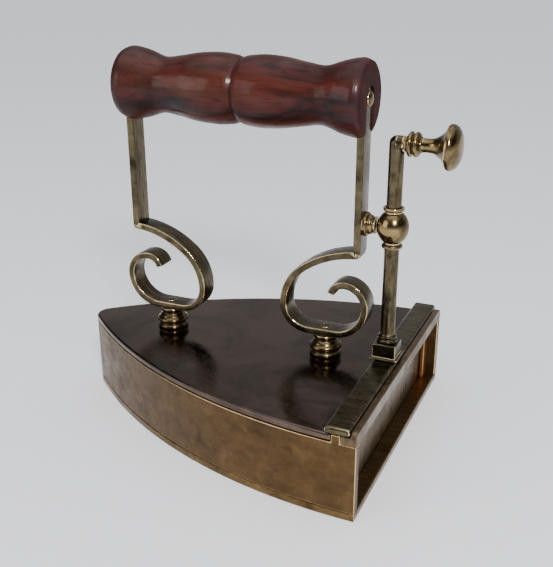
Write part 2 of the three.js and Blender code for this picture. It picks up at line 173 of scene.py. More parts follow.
def lathe(name, profile, place, axis="z", segments=72):
    """Turns (radius, height) pairs about an axis through place. Points on the axis become poles."""
    profile = with_end_rings(profile)
    verts, rings = [], []
    for radius, height in profile:
        if radius < 1e-7:
            rings.append([len(verts)])
            verts.append((0.0, 0.0, height))
            continue
        rings.append(list(range(len(verts), len(verts) + segments)))
        for k in range(segments):
            angle = 2 * math.pi * k / segments
            verts.append((radius * math.cos(angle), radius * math.sin(angle), height))
    pairs = list(zip(rings, rings[1:]))
    if len(rings[0]) > 1 and len(rings[-1]) > 1:
        pairs.append((rings[-1], rings[0]))
    faces = [face for lower, upper in pairs for face in ring_faces(lower, upper, segments)]
    turn = LATHE_TURN[axis]
    piece = new_object(name, [turn @ Vector(v) + Vector(place) for v in verts], faces)
    outward(piece)
    return piece


def joined(first, second):
    """One piece that holds two closed shapes."""
    net = bmesh.new()
    net.from_mesh(first.data)
    net.from_mesh(second.data)
    net.to_mesh(first.data)
    net.free()
    bpy.data.objects.remove(second)
    return first


def outward(piece):
    """Faces point out, whatever order they were made in."""
    net = bmesh.new()
    net.from_mesh(piece.data)
    bmesh.ops.remove_doubles(net, verts=net.verts, dist=1e-7)
    bmesh.ops.recalc_face_normals(net, faces=net.faces)
    net.to_mesh(piece.data)
    net.free()


def refined(node, name, bevel, segments=3, angle=32):
    """A CAD node's own shape with its flats cleaned up and its edges broken by a small round."""
    piece = linked_object(name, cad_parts[node].data.copy())
    piece.data.materials.clear()
    net = bmesh.new()
    net.from_mesh(piece.data)
    bmesh.ops.remove_doubles(net, verts=net.verts, dist=2e-6)
    bmesh.ops.dissolve_limit(net, angle_limit=math.radians(0.5), verts=net.verts, edges=net.edges)
    net.to_mesh(piece.data)
    net.free()
    round_edges = piece.modifiers.new("round_edges", "BEVEL")
    round_edges.width = bevel
    round_edges.segments = segments
    round_edges.limit_method = "ANGLE"
    round_edges.angle_limit = math.radians(angle)
    piece = evaluated_copy(piece, name)
    piece["flat_faces"] = True
    return piece


def mark_wear_and_highlight(piece):
    """Stores how sharply the surface turns outward (worn edges, partly a painted edge highlight) and inward
    (grime), for the finishes to read.
    """
    mesh = piece.data
    turn = {"rub_and_highlight": np.zeros(len(mesh.vertices)), "grime": np.zeros(len(mesh.vertices))}
    net = bmesh.new()
    net.from_mesh(mesh)
    for edge in net.edges:
        angle = math.degrees(edge.calc_face_angle_signed(0.0))
        kind = turn["rub_and_highlight" if angle > 0 else "grime"]
        for vertex in edge.verts:
            kind[vertex.index] = max(kind[vertex.index], abs(angle))
    net.free()
    for polygon in mesh.polygons:
        if polygon.area > WIDE_FACE:
            for kind in turn.values():
                kind[list(polygon.vertices)] = 0.0
    # the outward value marks worn edges and also where a painted edge highlight goes
    for label, start in (("rub_and_highlight", 16.5), ("grime", 9.0)):
        layer = mesh.attributes.new(label, "FLOAT", "POINT")
        layer.data.foreach_set("value", np.clip((turn[label] - start) / 10, 0, 1).astype(np.float32))


def flatten_shading(mesh):
    """Large faces keep their own direction; the rounded edges between them turn the light."""
    wide = [p.area > WIDE_FACE for p in mesh.polygons]
    touching = [[] for _ in mesh.vertices]
    for polygon in mesh.polygons:
        if wide[polygon.index]:
            for index in polygon.vertices:
                touching[index].append(polygon)
    normals = [None] * len(mesh.loops)
    for polygon in mesh.polygons:
        for loop, index in zip(polygon.loop_indices, polygon.vertices):
            near = touching[index]
            base = max(near, key=lambda p: p.normal.dot(polygon.normal)).normal if near else None
            if wide[polygon.index]:
                base = polygon.normal
            if base is None:
                normals[loop] = mesh.vertices[index].normal
                continue
            total = Vector()
            for other in near:
                if other.normal.dot(base) > 0.9:
                    total += other.normal * other.area
            normals[loop] = total.normalized()
    mesh.normals_split_custom_set([tuple(n) for n in normals])


def finish_piece(piece, body, material, nodes=(), smooth_angle=40):
    """Shades, paints, places on its body and hides the CAD nodes that the piece stands for."""
    mark_wear_and_highlight(piece)
    piece.data.materials.clear()
    piece.data.materials.append(material)
    for polygon in piece.data.polygons:
        polygon.use_smooth = True
    piece.data.set_sharp_from_angle(angle=math.radians(smooth_angle))
    if piece.get("flat_faces"):
        flatten_shading(piece.data)
    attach(piece, body)
    if nodes:
        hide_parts(*nodes)
    return piece


# ---- Shader building ----------------------------------------------------------------------------

FLOAT, COLOUR, VECTOR = "NodeSocketFloat", "NodeSocketColor", "NodeSocketVector"


def link(tree, source, target):
    tree.links.new(source, target)


def node(tree, kind, settings=None, **inputs):
    """A node with its settings and inputs filled in; an input given as a socket is linked."""
    made = tree.nodes.new(kind)
    for key, value in (settings or {}).items():
        setattr(made, key, value)
    for key, value in inputs.items():
        label = key.replace("_", " ")
        socket = made.inputs[int(key[1:])] if key[0] == "i" and key[1:].isdigit() else made.inputs[label]
        if isinstance(value, bpy.types.NodeSocket):
            tree.links.new(value, socket)
        else:
            socket.default_value = value
    return made


def math_node(tree, operation, a, b=0.0, clamp=False):
    settings = {"operation": operation, "use_clamp": clamp}
    return node(tree, "ShaderNodeMath", settings, i0=a, i1=b).outputs[0]


def scaled(tree, value, factor):
    return math_node(tree, "MULTIPLY", value, factor)


def squeezed(tree, vector, factors):
    """The vector with each direction scaled by its own factor."""
    return node(tree, "ShaderNodeVectorMath", {"operation": "MULTIPLY"}, i0=vector, i1=factors).outputs[0]


def noise(tree, vector, scale, detail, roughness, distortion=0.0):
    made = node(tree, "ShaderNodeTexNoise", None, Vector=vector, Scale=scale, Detail=detail,
                Roughness=roughness, Distortion=distortion)
    return made.outputs[0]


def relief(tree, shader, height, strength, distance):
    """Bumps the shader's surface by a height value."""
    bump = node(tree, "ShaderNodeBump", None, Height=height)
    bump.inputs["Strength"].default_value = strength
    bump.inputs["Distance"].default_value = distance
    link(tree, bump.outputs[0], shader.inputs["Normal"])


def mix_colour(tree, factor, a, b, blend="MIX"):
    made = node(tree, "ShaderNodeMix", {"data_type": "RGBA", "blend_type": blend}, i0=factor, i6=a, i7=b)
    return made.outputs[2]


def spread(tree, value, low_value, high_value, to_low=0.0, to_high=1.0):
    made = node(tree, "ShaderNodeMapRange", None, Value=value)
    made.inputs["From Min"].default_value = low_value
    made.inputs["From Max"].default_value = high_value
    made.inputs["To Min"].default_value = to_low
    made.inputs["To Max"].default_value = to_high
    return made.outputs[0]


def new_group(name, inputs, outputs):
    """An empty shader group with its named sockets, and its input and output nodes."""
    tree = bpy.data.node_groups.new(name, "ShaderNodeTree")
    for label, kind, value in inputs:
        socket = tree.interface.new_socket(label, in_out="INPUT", socket_type=kind)
        if value is not None:
            socket.default_value = value
    for label, kind in outputs:
        tree.interface.new_socket(label, in_out="OUTPUT", socket_type=kind)
    return tree, tree.nodes.new("NodeGroupInput"), tree.nodes.new("NodeGroupOutput")


def place_group(tree, group, **inputs):
    made = tree.nodes.new("ShaderNodeGroup")
    made.node_tree = group
    for key, value in inputs.items():
        socket = made.inputs[key.replace("_", " ")]
        if isinstance(value, bpy.types.NodeSocket):
            tree.links.new(value, socket)
        else:
            socket.default_value = value
    return made


def tarnish_group():
    """Cloudy patches with finer freckles in them, as on brass that has browned unevenly."""
    tree, given, out = new_group(
        "tarnish",
        [("Vector", VECTOR, None), ("Patch Scale", FLOAT, 40.0), ("Freckle Scale", FLOAT, 500.0),
         ("Edge", FLOAT, 0.12)],
        [("Patches", FLOAT), ("Freckles", FLOAT), ("Clouds", FLOAT)],
    )
    vector, edge, patch_scale = (given.outputs[label] for label in ("Vector", "Edge", "Patch Scale"))
    patches = noise(tree, vector, patch_scale, 7.0, 0.62, 0.7)
    ramp = node(tree, "ShaderNodeMapRange", {"interpolation_type": "SMOOTHSTEP"}, Value=patches)
    link(tree, math_node(tree, "SUBTRACT", 0.52, edge), ramp.inputs["From Min"])
    link(tree, math_node(tree, "ADD", 0.52, edge), ramp.inputs["From Max"])
    link(tree, ramp.outputs[0], out.inputs["Patches"])
    freckles = noise(tree, vector, given.outputs["Freckle Scale"], 3.0, 0.7)
    link(tree, spread(tree, freckles, 0.5, 0.72), out.inputs["Freckles"])
    clouds = noise(tree, vector, scaled(tree, patch_scale, 0.37), 3.0, 0.5)
    link(tree, spread(tree, clouds, 0.3, 0.7), out.inputs["Clouds"])
    return tree


def scratch_group():
    """Fine lines along one direction, a few of them deep. Grain squeezes the pattern across the lines."""
    tree, given, out = new_group(
        "scratches",
        [("Vector", VECTOR, None), ("Grain", VECTOR, (20.0, 900.0, 900.0)),
         ("Turn", VECTOR, (0.0, 0.0, 0.0))],
        [("Lines", FLOAT), ("Deep", FLOAT)],
    )
    turned = node(tree, "ShaderNodeMapping", None, Vector=given.outputs["Vector"])
    link(tree, given.outputs["Turn"], turned.inputs["Rotation"])
    grained = squeezed(tree, turned.outputs[0], given.outputs["Grain"])
    link(tree, noise(tree, grained, 1.0, 4.0, 0.6), out.inputs["Lines"])
    sparse = node(tree, "ShaderNodeVectorMath", {"operation": "SCALE"}, i0=grained)
    sparse.inputs["Scale"].default_value = 0.45
    deep = noise(tree, sparse.outputs[0], 1.0, 1.0, 0.4)
    link(tree, spread(tree, deep, 0.67, 0.75), out.inputs["Deep"])
    return tree


def edge_wear_and_highlight_group():
    """Broken-up masks for worn edges, partly a painted edge highlight, and for dirt in the folds, from the
    edge values stored on the piece.
    """
    tree, given, out = new_group(
        "edge_wear",
        [("Vector", VECTOR, None), ("Break-up Scale", FLOAT, 260.0)],
        [("Rubbed", FLOAT), ("Dirt", FLOAT)],
    )
    break_up = noise(tree, given.outputs["Vector"], given.outputs["Break-up Scale"], 5.0, 0.65)
    # the outward mask lightens worn edges and also paints an edge highlight; the inward mask is dirt
    for attribute, label, lift in (("rub_and_highlight", "Rubbed", 0.45), ("grime", "Dirt", 0.7)):
        read = node(tree, "ShaderNodeAttribute", {"attribute_name": attribute})
        broken = math_node(tree, "ADD", break_up, lift)
        mask = math_node(tree, "MULTIPLY", read.outputs["Fac"], broken, clamp=True)
        link(tree, mask, out.inputs[label])
    return tree


TARNISH = tarnish_group()
SCRATCHES = scratch_group()
EDGE_WEAR_AND_HIGHLIGHT = edge_wear_and_highlight_group()


def new_material(name):
    material = bpy.data.materials.new(name)
    material.use_nodes = True
    tree = material.node_tree
    tree.nodes.clear()
    shader = tree.nodes.new("ShaderNodeBsdfPrincipled")
    output = tree.nodes.new("ShaderNodeOutputMaterial")
    tree.links.new(shader.outputs[0], output.inputs[0])
    coords = tree.nodes.new("ShaderNodeTexCoord").outputs["Object"]
    return material, tree, shader, coords


def rgba(red, green, blue):
    return (red, green, blue, 1.0)


def aged_brass(name, clean, brown, dirt, bright, smooth, rough, patch_scale, grain, turn=(0.0, 0.0, 0.0),
               patch_edge=0.12, brown_share=1.0, bump=0.06, scratch_depth=0.25, freckle_share=0.5):
    """Brass browned in patches, with freckles, brushed lines, worn edges lightened partly as a painted
    highlight, and dirt in its folds.
    """
    material, tree, shader, coords = new_material(name)
    tarnish = place_group(tree, TARNISH, Vector=coords, Patch_Scale=patch_scale,
                          Freckle_Scale=patch_scale * 14, Edge=patch_edge)
    scratch = place_group(tree, SCRATCHES, Vector=coords, Grain=grain, Turn=turn)
    wear_and_highlight = place_group(tree, EDGE_WEAR_AND_HIGHLIGHT, Vector=coords)
    clouds, all_freckles = tarnish.outputs["Clouds"], tarnish.outputs["Freckles"]
    lines, deep = scratch.outputs["Lines"], scratch.outputs["Deep"]
    rubbed_and_highlight, in_folds = wear_and_highlight.outputs["Rubbed"], wear_and_highlight.outputs["Dirt"]
    patches = math_node(tree, "MULTIPLY", tarnish.outputs["Patches"], brown_share, clamp=True)
    freckles = scaled(tree, all_freckles, freckle_share)

    colour = mix_colour(tree, patches, rgba(*clean), rgba(*brown))
    cloud = spread(tree, clouds, 0.0, 1.0, 0.72, 1.2)
    shade = node(tree, "ShaderNodeCombineColor", None, Red=cloud, Green=cloud, Blue=cloud)
    colour = mix_colour(tree, 1.0, colour, shade.outputs[0], "MULTIPLY")
    colour = mix_colour(tree, freckles, colour, rgba(*dirt))
    colour = mix_colour(tree, spread(tree, lines, 0.35, 0.75, 0.0, scratch_depth), colour, rgba(*bright))
    colour = mix_colour(tree, scaled(tree, in_folds, 0.8), colour, rgba(*dirt))
    # worn edges lightened: real wear on the brass, and a painted edge highlight
    colour = mix_colour(tree, rubbed_and_highlight, colour, rgba(*bright))
    link(tree, colour, shader.inputs["Base Color"])

    dull = spread(tree, patches, 0.0, 1.0, smooth, rough)
    dull = math_node(tree, "ADD", dull, spread(tree, lines, 0.3, 0.7, -0.06, 0.08))
    dull = math_node(tree, "ADD", dull, scaled(tree, freckles, 0.2))
    dull = math_node(tree, "SUBTRACT", dull, scaled(tree, rubbed_and_highlight, 0.12), clamp=True)
    link(tree, dull, shader.inputs["Roughness"])
    covered = math_node(tree, "ADD", freckles, in_folds, clamp=True)
    link(tree, spread(tree, covered, 0.0, 1.0, 1.0, 0.55), shader.inputs["Metallic"])

    height = math_node(tree, "ADD", scaled(tree, lines, 0.5), scaled(tree, clouds, 1.4))
    height = math_node(tree, "SUBTRACT", height, scaled(tree, deep, 0.8))
    height = math_node(tree, "SUBTRACT", height, scaled(tree, all_freckles, 0.35))
    relief(tree, shader, height, bump, 0.4 * MM)
    return material


def wall_material():
    return aged_brass(
        "wall_brass", clean=(0.122, 0.068, 0.026), brown=(0.062, 0.034, 0.016), dirt=(0.022, 0.015, 0.011),
        bright=(0.66, 0.47, 0.22), smooth=0.3, rough=0.5, patch_scale=150.0, grain=(180.0, 180.0, 460.0),
        patch_edge=0.26, brown_share=0.85, bump=0.14, scratch_depth=0.05, freckle_share=0.75,
    )


def sole_material():
    """The same brass as the walls, worn along the iron by years of pressing."""
    return aged_brass(
        "sole_brass", clean=(0.165, 0.1, 0.036), brown=(0.06, 0.034, 0.016), dirt=(0.022, 0.015, 0.011),
        bright=(0.66, 0.47, 0.22), smooth=0.24, rough=0.42, patch_scale=120.0, grain=(70.0, 900.0, 300.0),
        patch_edge=0.2, brown_share=0.85, bump=0.16, scratch_depth=0.12, freckle_share=0.7,
    )


def plate_material():
    return aged_brass(
        "plate_brass", clean=(0.13, 0.092, 0.072), brown=(0.07, 0.05, 0.041), dirt=(0.02, 0.015, 0.013),
        bright=(0.2, 0.13, 0.08), smooth=0.12, rough=0.26, patch_scale=34.0, grain=(60.0, 1100.0, 60.0),
        turn=(0.0, 0.0, 0.3), brown_share=0.9, bump=0.035, scratch_depth=0.08, freckle_share=0.3,
    )


def bar_material():
    return aged_brass(
        "bar_brass", clean=(0.06, 0.047, 0.025), brown=(0.016, 0.013, 0.009), dirt=(0.014, 0.012, 0.009),
        bright=(0.9, 0.72, 0.4), smooth=0.16, rough=0.36, patch_scale=95.0, grain=(120.0, 1300.0, 120.0),
        brown_share=0.9, bump=0.08, scratch_depth=0.14, freckle_share=0.45,
    )


def gate_material():
    return aged_brass(
        "gate_brass", clean=(0.17, 0.125, 0.075), brown=(0.085, 0.056, 0.036), dirt=(0.025, 0.018, 0.013),
        bright=(0.55, 0.4, 0.22), smooth=0.26, rough=0.46, patch_scale=60.0, grain=(900.0, 900.0, 25.0),
        brown_share=0.9, bump=0.12, scratch_depth=0.22, freckle_share=0.5,
    )


def copper_material():
    """Inside the heel, where the heat has turned the brass orange."""
    return aged_brass(
        "heel_copper", clean=(0.42, 0.17, 0.05), brown=(0.15, 0.06, 0.025), dirt=(0.03, 0.018, 0.012),
        bright=(0.7, 0.42, 0.18), smooth=0.34, rough=0.55, patch_scale=70.0, grain=(60.0, 60.0, 700.0),
        brown_share=0.9, bump=0.12, scratch_depth=0.12, freckle_share=0.5,
    )


def knob_material():
    return aged_brass(
        "knob_brass", clean=(0.26, 0.185, 0.08), brown=(0.07, 0.05, 0.026), dirt=(0.016, 0.013, 0.009),
        bright=(0.92, 0.74, 0.42), smooth=0.12, rough=0.3, patch_scale=150.0, grain=(300.0, 300.0, 300.0),
        brown_share=0.85, bump=0.05, scratch_depth=0.08, freckle_share=0.35,
    )


def post_material():
    """As the knob, but browner, for the turned posts that hands and cloths never reach."""
    return aged_brass(
        "post_brass", clean=(0.15, 0.105, 0.048), brown=(0.04, 0.028, 0.015), dirt=(0.012, 0.01, 0.007),
        bright=(0.9, 0.7, 0.38), smooth=0.12, rough=0.28, patch_scale=170.0, grain=(300.0, 300.0, 300.0),
        brown_share=0.9, bump=0.05, scratch_depth=0.06, freckle_share=0.4,
    )


def iron_material():
    """Heat-scaled cast iron with rust in patches."""
    material, tree, shader, coords = new_material("slug_iron")
    scale = noise(tree, coords, 180.0, 8.0, 0.7)
    red = spread(tree, noise(tree, coords, 45.0, 6.0, 0.65), 0.48, 0.68)
    colour = mix_colour(tree, red, rgba(0.05, 0.047, 0.045), rgba(0.16, 0.062, 0.028))
    wear_and_highlight = place_group(tree, EDGE_WEAR_AND_HIGHLIGHT, Vector=coords)
    # edges lightened: worn scale, and a painted edge highlight
    colour = mix_colour(tree, wear_and_highlight.outputs["Rubbed"], colour, rgba(0.2, 0.19, 0.18))
    link(tree, colour, shader.inputs["Base Color"])
    link(tree, spread(tree, scale, 0.3, 0.7, 0.55, 0.9), shader.inputs["Roughness"])
    link(tree, spread(tree, red, 0.0, 1.0, 0.85, 0.2), shader.inputs["Metallic"])
    relief(tree, shader, scale, 0.6, 0.5 * MM)
    return material


def wood_material():
    """Red-brown turned hardwood: long dark figure, short pores, hand-darkened ends and a worn varnish."""
    material, tree, shader, coords = new_material("red_wood")
    centred = node(tree, "ShaderNodeMapping", None, Vector=coords)
    centred.inputs["Location"].default_value = -middle("wooden_grip")
    centred = centred.outputs[0]
    along_grain = squeezed(tree, centred, (0.16, 1.0, 1.0))
    figure = noise(tree, along_grain, 150.0, 6.0, 0.55, 1.1)
    broad = noise(tree, along_grain, 48.0, 3.0, 0.5, 0.5)
    pores = noise(tree, squeezed(tree, centred, (0.055, 1.0, 1.0)), 1300.0, 2.0, 0.5)
    along = node(tree, "ShaderNodeSeparateXYZ", None, Vector=centred)
    end_reach = math_node(tree, "ABSOLUTE", along.outputs[0])
    half_length = extent("wooden_grip").x / 2

    streak = spread(tree, figure, 0.4, 0.61)
    base = mix_colour(tree, streak, rgba(0.01, 0.003, 0.0032), rgba(0.05, 0.0095, 0.0082))
    warm = spread(tree, broad, 0.42, 0.66)
    base = mix_colour(tree, scaled(tree, warm, 0.75), base, rgba(0.105, 0.03, 0.016))
    holes = spread(tree, pores, 0.58, 0.7)
    base = mix_colour(tree, scaled(tree, holes, 0.75), base, rgba(0.012, 0.005, 0.005))
    wear_and_highlight = place_group(tree, EDGE_WEAR_AND_HIGHLIGHT, Vector=coords)
    base = mix_colour(tree, scaled(tree, wear_and_highlight.outputs["Dirt"], 0.9), base, rgba(0.012, 0.006, 0.006))
    ends = spread(tree, end_reach, half_length * 0.8, half_length)
    base = mix_colour(tree, scaled(tree, ends, 0.6), base, rgba(0.03, 0.012, 0.013))
    link(tree, base, shader.inputs["Base Color"])

    smears = noise(tree, coords, 70.0, 4.0, 0.6)
    end_grain = spread(tree, end_reach, half_length - 1.2 * MM, half_length - 0.5 * MM)
    dull = spread(tree, smears, 0.3, 0.7, 0.26, 0.46)
    dull = math_node(tree, "ADD", dull, scaled(tree, holes, 0.15))
    dull = math_node(tree, "ADD", dull, scaled(tree, end_grain, 0.4))
    link(tree, dull, shader.inputs["Roughness"])
    shader.inputs["Coat Roughness"].default_value = 0.1
    shader.inputs["Specular IOR Level"].default_value = 0.12
    varnished = math_node(tree, "SUBTRACT", 1.0, end_grain)
    coat = math_node(tree, "MULTIPLY", spread(tree, smears, 0.3, 0.6, 0.3, 0.05), varnished)
    link(tree, coat, shader.inputs["Coat Weight"])
    height = math_node(tree, "SUBTRACT", scaled(tree, streak, 0.3), holes)
    relief(tree, shader, height, 0.12, 0.25 * MM)
    return material


WALL = wall_material()
SOLE = sole_material()
PLATE = plate_material()
BAR = bar_material()
GATE_METAL = gate_material()
COPPER = copper_material()
KNOB = knob_material()
POST = post_material()
IRON = iron_material()
WOOD = wood_material()


# ---- Box: sole, walls, top, lintel, channels ----------------------------------------------------

def build_box():
    finish_piece(refined("sole_plate", "sole", 0.35 * MM), BODY, SOLE, ["sole_plate"])
    finish_piece(refined("side_wall", "wall_band", 0.4 * MM), BODY, WALL, ["side_wall"])
    finish_piece(refined("top_plate", "deck", 0.3 * MM), BODY, PLATE, ["top_plate"])
    lintel = refined("heel_lintel", "lintel", 0.45 * MM)
    finish_piece(lintel, BODY, GATE_METAL, ["heel_lintel"])
    for side in ("left", "right"):
        channel = refined(f"{side}_gate_channel", f"{side}_channel", 0.3 * MM)
        finish_piece(channel, BODY, COPPER, [f"{side}_gate_channel"])


# ---- Lifting gate -------------------------------------------------------------------------------

def build_gate():
    finish_piece(refined("gate_plate", "gate", 0.4 * MM), GATE, GATE_METAL, ["gate_plate"])
    finish_piece(refined("gate_cap", "cap_bar", 0.5 * MM, 4), GATE, BAR, ["gate_cap"])
    finish_piece(refined("rod_foot", "foot_block", 0.4 * MM), GATE, BAR, ["rod_foot"])
    build_rod_collar()
    build_rod()
    build_knob()


def build_rod_collar():
    bottom, top = low("rod_collar").z, high("rod_collar").z
    radius, height = extent("rod_collar").x / 2, top - bottom
    neck = 0.81 * radius
    profile = [
        (0, 0), (radius * 0.96, 0), (radius, 0.12 * height), (radius, 0.3 * height),
        (neck, 0.46 * height), (neck * 1.12, 0.62 * height), (neck * 1.12, 0.78 * height),
        (neck * 0.94, 0.9 * height), (neck * 0.9, height), (0, height),
    ]
    place = middle("rod_collar")
    place.z = bottom
    collar = lathe("foot_collar", soften(profile, 0.35 * MM), place)
    finish_piece(collar, GATE, BAR, ["rod_collar"], 60)


def gate_axis_x():
    return middle("rod_collar").x


def build_rod():
    """A round rod that turns square to the rear at its top, its corner rounded over."""
    axis_x, axis_y = gate_axis_x(), middle("lift_rod").y
    radius = extent("lift_rod").y / 2
    corner_z = high("lift_rod").z - radius
    bottom = high("rod_collar").z - 0.3 * MM
    rise = corner_z - bottom
    quarter = (math.pi / 2 * i / 12 for i in range(12))
    dome = [(radius * math.cos(a), rise + radius * math.sin(a)) for a in quarter]
    stem = lathe("rod_stem", [(0, 0), (radius, 0), *dome, (0, rise + radius)], (axis_x, axis_y, bottom))
    rear_x = low("lift_rod").x
    reach = axis_x - rear_x
    inner = radius * 0.999  # a hair thinner, so that the stub and the stem share no face
    edge = 0.3 * MM
    stub_profile = [(0, 0), (inner - edge, 0), (inner, edge), (inner, reach), (0, reach)]
    stub = lathe("rod_stub", stub_profile, (rear_x, axis_y, corner_z), "x")
    finish_piece(joined(stem, stub), GATE, BAR, ["lift_rod"], 35)


def build_knob():
    """The double-ringed collar against the rod, and the trumpet with its domed disc behind it."""
    place = middle("lift_knob")
    place.x = high("knob_collar").x
    build_knob_collar(place)
    start = place.x - low("knob_collar").x
    end = place.x - low("lift_knob").x
    disc = extent("lift_knob").y / 2
    stem = 2.6 * MM
    reach = end - start

    def along(radius, share):
        return (radius, start + share * reach)

    flare = catmull([
        along(stem, 0.02), along(stem * 0.96, 0.14), along(stem * 1.08, 0.3),
        along(stem * 1.6, 0.46), along(disc * 0.74, 0.58), along(disc * 0.95, 0.635),
    ], 6)
    rim = catmull([
        along(disc * 0.985, 0.66), along(disc, 0.72), along(disc * 0.975, 0.78),
        along(disc * 0.86, 0.87), along(disc * 0.6, 0.955), along(disc * 0.3, 0.99),
    ], 6)
    knob = lathe("mushroom_knob", [(0, start), *flare, *rim, (0, end)], place, "-x")
    finish_piece(knob, GATE, KNOB, ["lift_knob"], 60)


def build_knob_collar(place):
    radius = extent("knob_collar").y / 2
    length = extent("knob_collar").x
    neck = 0.62 * radius
    profile = [
        (0, 0), (neck, 0), (neck, 0.12 * length), (radius * 0.86, 0.17 * length), (radius, 0.26 * length),
        (radius, 0.4 * length), (radius * 0.74, 0.5 * length), (radius * 0.98, 0.6 * length),
        (radius * 0.98, 0.74 * length), (radius * 0.8, 0.86 * length), (neck, 0.94 * length),
        (neck, length), (0, length),
    ]
    collar = lathe("double_ring", soften(profile, 0.45 * MM, 5), place, "-x")
    finish_piece(collar, GATE, KNOB, ["knob_collar"], 60)


# ---- Guide --------------------------------------------------------------------------------------

def build_guide():
    """The bored bead that steadies the rod, and the arm that carries it."""
    place = middle("guide_ball")
    radius, half = extent("guide_ball").x / 2, extent("guide_ball").z / 2
    bore = extent("lift_rod").y / 2 + BORE_CLEARANCE
    band = 0.12 * half
    collar = 0.66 * radius
    angles = (math.radians(t) for t in range(-60, 61, 5))
    swell = [(radius * math.cos(a), (half - band) * math.sin(a)) for a in angles]
    profile = soften([
        (bore, -half), (collar, -half), (collar, band - half), *swell,
        (collar, half - band), (collar, half), (bore, half),
    ], 0.3 * MM)
    ball = lathe("guide_bead", profile, place)
    finish_piece(ball, BODY, KNOB, ["guide_ball"], 50)
    build_guide_arm(place)


def build_guide_arm(place):
    start, end = low("guide_arm").x, high("guide_arm").x
    length = end - start
    flange = extent("guide_arm").y / 2
    arm = flange * 0.8
    seat = length - STRIP_THICKNESS
    profile = [
        (0, 0), (arm * 0.95, 0), (arm * 0.82, 0.22 * seat), (arm, 0.4 * seat), (arm, 0.55 * seat),
        (flange, 0.68 * seat), (flange, seat), (PIN_RADIUS, seat), (PIN_RADIUS, length), (0, length),
    ]
    piece = lathe("guide_neck", soften(profile, 0.35 * MM), (start, place.y, place.z), "x")
    finish_piece(piece, BODY, KNOB, ["guide_arm"], 50)


# ---- Stanchions and scrolls, swept by geometry nodes --------------------------------------------

SHOULDER_DIP = 3.0  # degrees below level where the scroll leaves the stanchion
SHOULDER_ARC = (39 * MM, 37)  # each arc is a radius and the degrees that it turns
OUTER_ARC = (19 * MM, 50)
RISE_ARC = (12.6 * MM, 90)
CURL_ARC = (8.6 * MM, 90)
TIP_ARC = (5.4 * MM, 75)
SHOULDER_HEIGHT = 77.2 * MM
LOOP_HEIGHT = 43.3 * MM
POST_FLAT = 8.6 * MM  # level stretch over each post
BEND_REACH = 0.45 * MM  # points this far each side of the shoulder's sharp bend
BAR_END_STEPS = 8
TIP_STEPS = 7


def arc_fall(arc, start):
    """How far an arc falls and runs when it starts at this many degrees below level."""
    radius, turn = arc
    a, b = math.radians(start), math.radians(start + turn)
    return radius * (math.cos(a) - math.cos(b)), radius * (math.sin(b) - math.sin(a))


def follow_arcs(x, z, heading, arcs):
    """Points along arcs laid end to end; an arc that doesn't turn is a straight run."""
    points = []
    for size, turn in arcs:
        steps = max(1, round(turn / 4))
        bend = math.radians(turn) / steps
        stride = 2 * size * math.sin(bend / 2) if turn else size
        for _ in range(steps):
            x += stride * math.cos(heading - bend / 2)
            z += stride * math.sin(heading - bend / 2)
            heading -= bend
            points.append((x, z, 1.0))
    return points


def bar_path(stanchion_x, post_x, top_z, end_radius):
    """Middle line of the rear bar, as x, z and width share, from its round top to the scroll's tip."""
    points = []
    for i in range(BAR_END_STEPS + 1):
        lift = math.sin(math.pi / 2 * (1 - i / BAR_END_STEPS))
        share = max(math.sqrt(1 - lift * lift), 0.12)
        points.append((stanchion_x, top_z + lift * end_radius, share))
    fall_a, run_a = arc_fall(SHOULDER_ARC, SHOULDER_DIP)
    fall_b, run_b = arc_fall(OUTER_ARC, SHOULDER_DIP + SHOULDER_ARC[1])
    lower = SHOULDER_HEIGHT - LOOP_HEIGHT - fall_a - fall_b
    flat_start = stanchion_x + run_a + run_b - lower
    run = flat_start - (post_x - POST_FLAT / 2)
    lower_turn = 180 - SHOULDER_DIP - SHOULDER_ARC[1] - OUTER_ARC[1]
    arcs = [SHOULDER_ARC, OUTER_ARC, (lower, lower_turn), (run, 0), RISE_ARC, CURL_ARC, TIP_ARC]
    heading = math.radians(-SHOULDER_DIP)
    x, z = stanchion_x, SHOULDER_HEIGHT
    for height in (top_z - 8 * MM, z + 2 * BEND_REACH, z + BEND_REACH, z):
        points.append((x, height, 1.0))
    points.append((x + BEND_REACH * math.cos(heading), z + BEND_REACH * math.sin(heading), 1.0))
    points += follow_arcs(x, z, heading, arcs)
    return round_tip(points)


def round_tip(points):
    """Narrows the bar's last few points to a rounded end."""
    for i in range(TIP_STEPS):
        x, z, _ = points[-1 - i]
        points[-1 - i] = (x, z, 0.4 + 0.6 * math.sin(math.pi / 2 * (i + 0.2) / TIP_STEPS))
    return points


def geometry_tree(name, source, sizes, result):
    """A geometry node tree with its named inputs, and its input and output nodes."""
    tree = bpy.data.node_groups.new(name, "GeometryNodeTree")
    tree.interface.new_socket(source, in_out="INPUT", socket_type="NodeSocketGeometry")
    for label in sizes:
        tree.interface.new_socket(label, in_out="INPUT", socket_type="NodeSocketFloat")
    tree.interface.new_socket("Finish", in_out="INPUT", socket_type="NodeSocketMaterial")
    tree.interface.new_socket(result, in_out="OUTPUT", socket_type="NodeSocketGeometry")
    return tree, tree.nodes.new("NodeGroupInput"), tree.nodes.new("NodeGroupOutput")


def real_and_painted(tree, shape, given, out):
    """Realizes the shape, gives it the finish and hands it to the tree's output."""
    real = tree.nodes.new("GeometryNodeRealizeInstances")
    tree.links.new(shape, real.inputs[0])
    paint = tree.nodes.new("GeometryNodeSetMaterial")
    tree.links.new(real.outputs[0], paint.inputs["Geometry"])
    tree.links.new(given.outputs["Finish"], paint.inputs["Material"])
    tree.links.new(paint.outputs[0], out.inputs[0])


